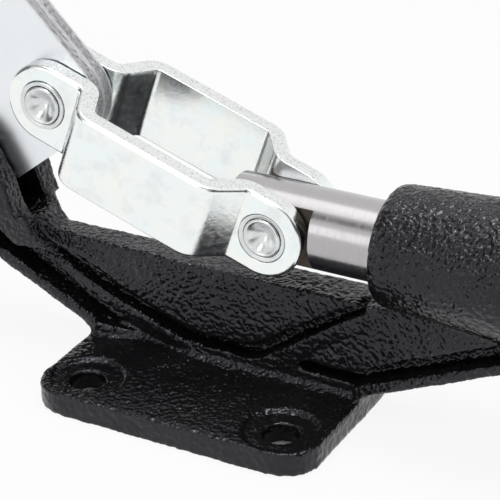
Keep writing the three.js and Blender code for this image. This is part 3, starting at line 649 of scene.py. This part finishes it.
def even_faces(piece):
    """Flat faces stay flat beside their rounded edges."""
    piece.modifiers.new("even_faces", "WEIGHTED_NORMAL").keep_sharp = True


def softened(corners, steps=CORNER_STEPS):
    """A closed outline of [first, second, rounding] corners, each drawn as a small curve."""
    points = []
    for i, (first, second, rounding) in enumerate(corners):
        corner = Vector((first, second))
        before = Vector(corners[i - 1][:2]) - corner
        after = Vector(corners[(i + 1) % len(corners)][:2]) - corner
        if rounding == 0:
            points.append(corner)
            continue
        start = corner + before.normalized() * min(rounding, before.length / 2)
        end = corner + after.normalized() * min(rounding, after.length / 2)
        for step in range(steps + 1):
            share = step / steps
            points.append(start.lerp(corner, share).lerp(corner.lerp(end, share), share))
    return points


def joined(built, rings):
    """Faces between each ring of vertices and the next."""
    for ring, following in zip(rings, rings[1:]):
        for i, vertex in enumerate(ring):
            j = (i + 1) % len(ring)
            built.faces.new((vertex, ring[j], following[j], following[i]))


def turned(profile, place, axis, sides=ROUND_SIDES):
    """A closed outline of along and radius points, turned about X or Y through a place."""
    built = bmesh.new()
    rings = []
    for along, radius in profile:
        ring = []
        for i in range(sides):
            angle = math.tau * i / sides
            first, second = radius * math.cos(angle), radius * math.sin(angle)
            offset = (along, first, second) if axis == "X" else (first, along, second)
            ring.append(built.verts.new(place + Vector(offset)))
        rings.append(ring)
    joined(built, rings + rings[:1])
    bmesh.ops.remove_doubles(built, verts=built.verts, dist=CUT_DISTANCE)
    return built


def copied(node):
    """A CAD node's mesh with its doubled corners joined."""
    built = bmesh.new()
    built.from_mesh(frame["nodes"][node].data)
    bmesh.ops.remove_doubles(built, verts=built.verts, dist=JOIN_DISTANCE)
    return built


def dress(node, look, bevel=0.0):
    """A CAD node kept as it is, with a material, smooth curves and softened edges."""
    shown = frame["nodes"][node]
    for i in range(len(shown.data.materials)):
        shown.data.materials[i] = look
    shown.data.shade_smooth()
    shown.modifiers.new("weld", "WELD").merge_threshold = JOIN_DISTANCE
    flat = shown.modifiers.new("flat", "DECIMATE")
    flat.decimate_type = "DISSOLVE"
    flat.angle_limit = FLAT_ANGLE
    if bevel:
        rounded = shown.modifiers.new("bevel", "BEVEL")
        rounded.width = bevel
        rounded.segments = BEVEL_STEPS
        rounded.limit_method = "ANGLE"
        rounded.angle_limit = SMOOTH_ANGLE
    even_faces(shown)


# The casting


def wrinkled(place, normal):
    """How far the painted skin stands proud at a place."""
    lump = noise.fractal(place / LUMP_SIZE, *LUMP_FRACTAL)
    pebble = noise.fractal(place / PEBBLE_SIZE, *PEBBLE_FRACTAL)
    return normal * (lump * LUMP_HEIGHT + pebble * PEBBLE_HEIGHT)


def cast_body():
    built = copied("base_casting")
    piece = finished("cast_body", built, PAINT, "base", ["base_casting"])
    remesh = piece.modifiers.new("remesh", "REMESH")
    remesh.mode = "VOXEL"
    remesh.voxel_size = CAST_VOXEL
    rounding = piece.modifiers.new("rounding", "SMOOTH")
    rounding.iterations = CAST_SMOOTHINGS
    depsgraph = bpy.context.evaluated_depsgraph_get()
    skin = bpy.data.meshes.new_from_object(piece.evaluated_get(depsgraph))
    piece.modifiers.clear()
    places = [vertex.co + wrinkled(vertex.co, vertex.normal) for vertex in skin.vertices]
    for vertex, place in zip(skin.vertices, places):
        vertex.co = place
        vertex.co.z = max(place.z, 0.0)
    skin.shade_smooth()
    skin.update()
    piece.data = skin


# The links


def runs_through(corners, radius):
    """The straight and curved runs of a line with rounded corners: place, heading, curvature, length."""
    runs = []
    place = corners[0]
    heading = math.atan2(*(corners[1] - corners[0]).yx)
    for corner, following in zip(corners[1:], corners[2:]):
        onward = math.atan2(*(following - corner).yx)
        turn = onward - heading
        reach = radius * math.tan(abs(turn) / 2)
        runs.append((place, heading, 0.0, (corner - place).length - reach))
        bend_start = corner - Vector((math.cos(heading), math.sin(heading))) * reach
        runs.append((bend_start, heading, math.copysign(1 / radius, turn), abs(turn) * radius))
        place = corner + Vector((math.cos(onward), math.sin(onward))) * reach
        heading = onward
    runs.append((place, heading, 0.0, (corners[-1] - place).length))
    return runs


def along_runs(runs, distance, offset):
    """The point at a distance along the runs and an offset to their left."""
    for place, heading, curvature, length in runs[:-1]:
        if distance <= length:
            break
        distance -= length
    else:
        place, heading, curvature, length = runs[-1]
    turn = curvature * distance
    onward = heading + turn
    if curvature:
        first = (math.sin(onward) - math.sin(heading)) / curvature
        second = (math.cos(heading) - math.cos(onward)) / curvature
        point = place + Vector((first, second))
    else:
        point = place + Vector((math.cos(heading), math.sin(heading))) * distance
    return point + Vector((-math.sin(onward), math.cos(onward))) * offset


def stadium(start, end, radius):
    """An outline round two points on a line."""
    points = []
    for middle, first in ((end, -90), (start, 90)):
        for step in range(STRIP_END_STEPS + 1):
            angle = math.radians(first + 180 * step / STRIP_END_STEPS)
            points.append((middle + radius * math.cos(angle), radius * math.sin(angle)))
    return points


def circle(middle, radius):
    angles = (math.tau * i / EYE_SIDES for i in range(EYE_SIDES))
    return [(middle + radius * math.cos(angle), radius * math.sin(angle)) for angle in angles]


def edge_profile(thickness, back, front):
    """How a punched edge runs from back face to front face, as inset and height."""
    profile = [(back, 0.0), (back * BACK_CUT, back * BACK_CUT), (0.0, back)]
    for step in range(PUNCHED_STEPS + 1):
        angle = math.pi / 2 * step / PUNCHED_STEPS
        profile.append((front * (1 - math.cos(angle)), thickness - front * (1 - math.sin(angle))))
    return profile


def loops_of(built, outlines):
    """Rings of vertices joined by faces, from one outline to the next."""
    rings = [[built.verts.new((x, y, height)) for x, y in points] for points, height in outlines]
    joined(built, rings)
    return rings[0], rings[-1]


def fill_between(built, rings):
    edges = [
        edge
        for ring in rings
        for i, vertex in enumerate(ring)
        for edge in vertex.link_edges
        if edge.other_vert(vertex) is ring[(i + 1) % len(ring)]
    ]
    bmesh.ops.triangle_fill(built, edges=edges, use_beauty=True)


def eye_plane(bush):
    """How far out the middle of a link's strip lies at the eye that holds a bush."""
    low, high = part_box(bush)
    return min(abs(low.y), abs(high.y)) + LINK_THICKNESS / 2


def flat_strip(rear_eye, front_eye, half_width, eye_radius):
    """A link before it is bent: a punched strip with round ends and an eye in each."""
    built = bmesh.new()
    outer = [
        (stadium(rear_eye, front_eye, half_width - inset), height)
        for inset, height in edge_profile(LINK_THICKNESS, BACK_ROUND, PUNCHED_ROUND)
    ]
    back, front = loops_of(built, outer)
    backs, fronts = [back], [front]
    for eye in (rear_eye, front_eye):
        inner = [
            (circle(eye, eye_radius + inset), height)
            for inset, height in edge_profile(LINK_THICKNESS, EYE_ROUND, EYE_ROUND)
        ]
        back, front = loops_of(built, inner)
        backs.append(back)
        fronts.append(front)
    fill_between(built, backs)
    fill_between(built, fronts)
    return built


def cut_stations(built, runs):
    """Cuts across a strip where it is to bend, and at even steps between."""
    reached = 0.0
    for _, _, curvature, length in runs:
        steps = LINK_BEND_STEPS if curvature else max(1, round(length / LINK_STATION))
        for step in range(steps + 1):
            station = Vector((reached + length * step / steps, 0, 0))
            everything = [*built.verts, *built.edges, *built.faces]
            bmesh.ops.bisect_plane(
                built, geom=everything, dist=CUT_DISTANCE, plane_co=station, plane_no=Vector((1, 0, 0)))
        reached += length


def link(name, node, bush, front_bush, side):
    """A link cut from thick strip, then bent outwards between its eyes."""
    low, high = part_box(node)
    bush_low, bush_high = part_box(bush)
    half_width = link_pivot.x - low.x
    rear_out, front_out = eye_plane(bush), eye_plane(front_bush)
    panel_out = max(abs(low.y), abs(high.y)) - LINK_THICKNESS / 2
    corners = [
        Vector((-half_width, rear_out)),
        Vector((REAR_JOG[0], rear_out)),
        Vector((REAR_JOG[1], panel_out)),
        Vector((link_length - FRONT_JOG[1], panel_out)),
        Vector((link_length - FRONT_JOG[0], front_out)),
        Vector((link_length + half_width, front_out)),
    ]
    runs = runs_through(corners, LINK_BEND_RADIUS)
    strip_length = sum(length for _, _, _, length in runs)
    eye_radius = (bush_high.z - bush_low.z) / 2 + EYE_GAP
    built = flat_strip(half_width, strip_length - half_width, half_width, eye_radius)
    cut_stations(built, runs)
    for vertex in built.verts:
        distance, across, height = vertex.co
        along, out = along_runs(runs, distance, height - LINK_THICKNESS / 2)
        place = link_pivot + link_along * along + link_across * across
        vertex.co = Vector((place.x, out * side, place.z))
    even_faces(finished(name, built, LINK_ZINC, "links", [node]))


# The pivots


def ring_and_face(side, bush, name):
    """A hard ring in a link's eye, its outer face sloping down to the rivet."""
    low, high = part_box(bush)
    inner, outer = sorted((abs(low.y), abs(high.y)))
    radius = (high.z - low.z) / 2
    bore = LIP_RADIUS - RING_STEP
    corners = [
        (inner * side, bore, 0),
        (inner * side, radius, RING_BACK_ROUND),
        (outer * side, radius, RING_FRONT_ROUND),
        ((outer - RING_DROP) * side, LIP_RADIUS + RING_GAP, RING_LIP_ROUND),
        ((outer - RING_UNDERCUT[0]) * side, LIP_RADIUS - RING_STEP / 2, 0),
        ((outer - RING_UNDERCUT[1]) * side, bore, 0),
    ]
    middle = centre(bush)
    place = Vector((middle.x, 0, middle.z))
    finished(name, turned(softened(corners), place, "Y"), RING_STEEL, "links", [bush])


def two_ended(name, node, half, body):
    """A rivet turned from the outline of one end and its mirror image."""
    mirrored = [(-along, radius, rounding) for along, radius, rounding in reversed(half)]
    middle = centre(node)
    place = Vector((middle.x, 0, middle.z))
    finished(name, turned(softened(mirrored + half), place, "Y"), RING_STEEL, body, [node])


def dished_rivet(name, node, rows, body):
    """A rivet with a dish in each end, from rows of depth, radius and rounding."""
    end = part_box(node)[1].y
    half = [(end - depth * MM, radius * MM, rounding * MM) for depth, radius, rounding in rows]
    two_ended(name, node, half, body)


def plate_rivet(name, node):
    """A round-headed rivet through both handle plates."""
    low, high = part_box(node)
    radius = (high.x - low.x) / 2
    seat = high.y - PLATE_HEAD_HEIGHT
    half = [(seat, RIVET_RADIUS, 0), (seat, radius, PLATE_HEAD_ROUND)]
    for step in range(1, PLATE_HEAD_STEPS + 1):
        angle = math.pi / 2 * step / PLATE_HEAD_STEPS
        rise = PLATE_HEAD_RIM + (PLATE_HEAD_HEIGHT - PLATE_HEAD_RIM) * math.sin(angle)
        half.append((seat + rise, radius * math.cos(angle), 0))
    two_ended(name, node, half, "handle")


# The spindle and its tip


def thread_rings(built, axis, start, end):
    """Rings of vertices that wind a thread round the axis, fading in over its first turn."""
    count = round((end - start) / THREAD_PITCH * THREAD_STEPS)
    rings = []
    for i in range(count + 1):
        along = start + (end - start) * i / count
        taper = min(1.0, (along - start) / THREAD_PITCH)
        ring = []
        for j in range(THREAD_SIDES):
            angle = math.tau * j / THREAD_SIDES
            turns = (along - start) / THREAD_PITCH - j / THREAD_SIDES
            wave = abs(2 * (turns % 1.0) - 1)
            depth = THREAD_DEPTH * min(1.0, max(0.0, wave * (1 + 2 * THREAD_FLAT) - THREAD_FLAT))
            radius = SPINDLE_RADIUS - THREAD_DEPTH * (1 - taper) - depth * taper
            offset = Vector((along, radius * math.cos(angle), radius * math.sin(angle)))
            ring.append(built.verts.new(axis + offset))
        rings.append(ring)
    return rings


def spindle():
    """The hexagon bolt, threaded from its point to its head."""
    low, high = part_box("spindle_bolt")
    axis = Vector((0, 0, plunger_pivot.z))
    built = bmesh.new()
    rings = thread_rings(built, axis, low.x, high.x - HEAD_HEIGHT)
    joined(built, rings)
    built.faces.new(rings[0])
    built.faces.new(rings[-1])
    corner = (high.z - low.z) / 2
    place = Matrix.Translation((high.x - HEAD_HEIGHT / 2, 0, axis.z))
    bmesh.ops.create_cone(
        built, cap_ends=True, segments=HEAD_SIDES, radius1=corner, radius2=corner, depth=HEAD_HEIGHT,
        matrix=place @ Matrix.Rotation(math.pi / 2, 4, "Y"))
    finished("spindle", built, NUT_ZINC, "spindle", ["spindle_bolt"])


def tip():
    """The moulded rubber cap: a grooved skirt and a slightly domed face."""
    low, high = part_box("rubber_tip")
    radius = (high.z - low.z) / 2
    neck = SPINDLE_RADIUS + RING_GAP
    length = high.x - low.x
    rim_depth, rim_inset, rim_round = TIP_RIM
    corners = [(low.x, neck, 0)]
    for share, inset, rounding in TIP_SKIRT:
        corners.append((low.x + length * share, radius - inset * MM, rounding * MM))
    corners.append((high.x - rim_depth, radius - rim_inset, rim_round))
    for depth, share, rounding in TIP_DOME:
        corners.append((high.x - depth, radius * share, rounding))
    corners += [
        (high.x, 0, 0),
        (high.x - TIP_FACE, 0, 0),
        (high.x - TIP_FACE, radius - TIP_WALL, 0),
        (low.x + TIP_LIP, radius - TIP_WALL, 0),
        (low.x + TIP_LIP, neck, 0),
    ]
    place = Vector((0, 0, plunger_pivot.z))
    finished("tip", turned(softened(corners), place, "X"), RUBBER, "spindle", ["rubber_tip"])


# The grip


def grip_taper(share):
    """The grip's width at a share of its length, as a share of its full width."""
    end = max(0.0, (share - (1 - GRIP_END_SHARE)) / GRIP_END_SHARE)
    dome = math.sqrt(max(0.0, 1 - end ** GRIP_END_POWER))
    waist = 1 - GRIP_WAIST * math.sin(math.pi * min(1.0, share / GRIP_WAIST_SHARE)) ** 2
    return dome * waist


def grip_ring(built, middle, wide, deep, swell=0.0):
    """A ring of the grip about a place: half its width across and along Y, and its swell in front."""
    ring = []
    for i in range(GRIP_SIDES):
        angle = math.tau * i / GRIP_SIDES
        cosine, sine = math.cos(angle), math.sin(angle)
        first = math.copysign(abs(cosine) ** GRIP_SQUARENESS, cosine) * wide
        second = math.copysign(abs(sine) ** GRIP_SQUARENESS, sine) * deep
        place = middle + GRIP_ACROSS * (first + swell * max(0.0, cosine))
        ring.append(built.verts.new((place.x, second, place.z)))
    return ring


def grip():
    """The dipped grip: a rolled mouth, a faint waist, finger swells in front and a domed end."""
    vertices = frame["nodes"]["grip"].data.vertices
    lengths = [vertex.co.dot(GRIP_ALONG) for vertex in vertices]
    widths = [vertex.co.dot(GRIP_ACROSS) for vertex in vertices]
    start, end = min(lengths), max(lengths)
    middle = GRIP_ACROSS * ((min(widths) + max(widths)) / 2)
    wide = (max(widths) - min(widths)) / 2
    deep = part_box("grip")[1].y
    built = bmesh.new()
    rings = []
    for widening, depth in MOUTH_INSIDE:
        place = GRIP_ALONG * (start + depth) + middle
        rings.append(grip_ring(built, place, wide - GRIP_WALL + widening, deep - GRIP_SIDE_WALL + widening))
    for inset, depth in MOUTH_OUTSIDE:
        place = GRIP_ALONG * (start + depth) + middle
        rings.append(grip_ring(built, place, wide - inset, deep - inset))
    body_length = end - start - GRIP_BODY_START
    for step in range(GRIP_STEPS + 1):
        share = step / GRIP_STEPS
        taper = grip_taper(share)
        fingers = math.tau * GRIP_FINGERS * min(1.0, share / GRIP_SWELL_SHARE)
        swell = -GRIP_SWELL * (1 - math.cos(fingers)) / 2 * taper
        place = GRIP_ALONG * (start + GRIP_BODY_START + body_length * share) + middle
        across, out = (wide - GRIP_BODY_INSET) * taper, (deep - GRIP_BODY_INSET) * taper
        rings.append(grip_ring(built, place, across, out, swell))
    joined(built, rings)
    built.faces.new(rings[0])
    bmesh.ops.remove_doubles(built, verts=built.verts, dist=JOIN_DISTANCE)
    finished("grip_skin", built, VINYL, "handle", ["grip"], GRIP_SMOOTH_ANGLE)


# Pieces

cast_body()
link("link_strip_near", "link_near", "link_bush_near", "plunger_bush_near", NEAR)
link("link_strip_far", "link_far", "link_bush_far", "plunger_bush_far", FAR)
for word, side in (("near", NEAR), ("far", FAR)):
    ring_and_face(side, f"link_bush_{word}", f"rear_ring_{word}")
    ring_and_face(side, f"plunger_bush_{word}", f"front_ring_{word}")
dished_rivet("pivot_rear", "link_rivet", FLARED_END, "links")
dished_rivet("pivot_front", "plunger_rivet", FLARED_END, "links")
dished_rivet("pivot_base", "base_rivet", HEADED_END, "base")
plate_rivet("plate_rivet_lower", "handle_rivet_lower")
plate_rivet("plate_rivet_upper", "handle_rivet_upper")
grip()
spindle()
tip()
dress("plunger", STEEL, PLUNGER_BEVEL)
dress("jam_nut", NUT_ZINC, NUT_BEVEL)
dress("handle_bush", RING_STEEL)
dress("base_bush", RING_STEEL)
dress("handle_plate_near", PLATE, PLATE_BEVEL)
dress("handle_plate_far", PLATE, PLATE_BEVEL)


# Floor, world, lamps and camera


def floor():
    """A pale floor that reads white, and keeps the clamp's soft shadow, with painted shade on the patch
    under the flange.
    """
    bpy.ops.mesh.primitive_plane_add(size=FLOOR_SIZE)
    plane = bpy.context.object
    plane.name = "floor"
    made, nodes = material("floor")
    rays = nodes.add("LightPath").outputs
    seen = nodes.math("MULTIPLY", rays["Is Camera Ray"], FLOOR_LIFT)
    for ray in ("Is Glossy Ray", "Is Transmission Ray"):
        seen = nodes.math("MAXIMUM", seen, rays[ray])
    lengthways, sideways = (
        nodes.math("GREATER_THAN", nodes.math("ABSOLUTE", nodes.along(nodes.place(), axis)), UNDER_FLANGE)
        for axis in ("X", "Y"))
    outside_painted_shade = nodes.math("MAXIMUM", lengthways, sideways)
    # Painted shade: under the flange the floor is dark and never lifted, so the bolt holes look dark
    colour = nodes.mix(outside_painted_shade, shade(UNDER_FLANGE_SHADE_LEVEL), shade(FLOOR_LEVEL))
    matte = nodes.add("BsdfDiffuse", {"Color": colour})
    white = nodes.add("Emission", {"Color": shade(1.0), "Strength": 1.0})
    shader = nodes.add("MixShader", {"Fac": nodes.math("MULTIPLY", seen, outside_painted_shade)})
    nodes.join(matte.outputs["BSDF"], shader.inputs[1])
    nodes.join(white.outputs["Emission"], shader.inputs[2])
    nodes.add("OutputMaterial", {"Surface": shader.outputs["Shader"]})
    plane.data.materials.append(made)


def world():
    """White to the camera. Metal sees white with a dark band high in front, and dim front corners."""
    scene_world = bpy.data.worlds.new("studio")
    bpy.context.scene.world = scene_world
    nodes = Nodes(scene_world)
    rays = nodes.add("LightPath").outputs
    direction = nodes.add("TexCoord").outputs["Generated"]
    side, depth, height = nodes.add("SeparateXYZ", {"Vector": direction}).outputs
    front = nodes.remap(depth, *FRONT_EDGE)
    into = nodes.remap(height, BAND_LOW, BAND_LOW + BAND_EDGE)
    out_of = nodes.remap(height, BAND_HIGH, BAND_HIGH + BAND_EDGE)
    band = nodes.math("MULTIPLY", nodes.math("SUBTRACT", into, out_of), front)
    corners = nodes.math("MAXIMUM", nodes.remap(side, *FRONT_RIGHT), nodes.remap(side, *FRONT_LEFT))
    glossy = nodes.mix(band, shade(1.0), shade(BAND_LEVEL))
    glossy = nodes.mix(nodes.math("MULTIPLY", corners, front), glossy, shade(DIM_LEVEL))
    seen = nodes.math("MAXIMUM", rays["Is Camera Ray"], rays["Is Transmission Ray"])
    light = nodes.mix(rays["Is Glossy Ray"], shade(AMBIENT), glossy)
    colour = nodes.mix(seen, light, shade(1.0))
    background = nodes.add("Background", {"Color": colour, "Strength": 1.0})
    nodes.add("OutputWorld", {"Surface": background.outputs["Background"]})


def lamp(name, place, size, power):
    """A square soft lamp that faces the clamp."""
    light = bpy.data.lights.new(name, "AREA")
    light.shape = "SQUARE"
    light.size = size
    light.energy = power
    shown = bpy.data.objects.new(name, light)
    bpy.context.scene.collection.objects.link(shown)
    shown.location = place
    shown.rotation_euler = (place - CAMERA_TARGET).to_track_quat("Z", "Y").to_euler()


def camera():
    azimuth, elevation = math.radians(CAMERA_AZIMUTH), math.radians(CAMERA_ELEVATION)
    back = Vector((
        math.sin(azimuth) * math.cos(elevation),
        -math.cos(azimuth) * math.cos(elevation),
        math.sin(elevation),
    ))
    right = Vector((0, 0, 1)).cross(back).normalized()
    upward = back.cross(right)
    turn = Matrix((right, upward, back)).transposed() @ Matrix.Rotation(math.radians(CAMERA_ROLL), 3, "Z")
    lens = bpy.data.cameras.new("camera")
    lens.sensor_width = SENSOR_WIDTH
    lens.lens = CAMERA_LENS
    lens.clip_start = CAMERA_NEAREST
    shown = bpy.data.objects.new("camera", lens)
    bpy.context.scene.collection.objects.link(shown)
    shown.matrix_world = Matrix.Translation(CAMERA_TARGET + back * CAMERA_DISTANCE) @ turn.to_4x4()
    bpy.context.scene.camera = shown


floor()
world()
for word, settings in LAMPS.items():
    lamp(word, *settings)
camera()
bpy.context.scene.view_settings.view_transform = "Standard"
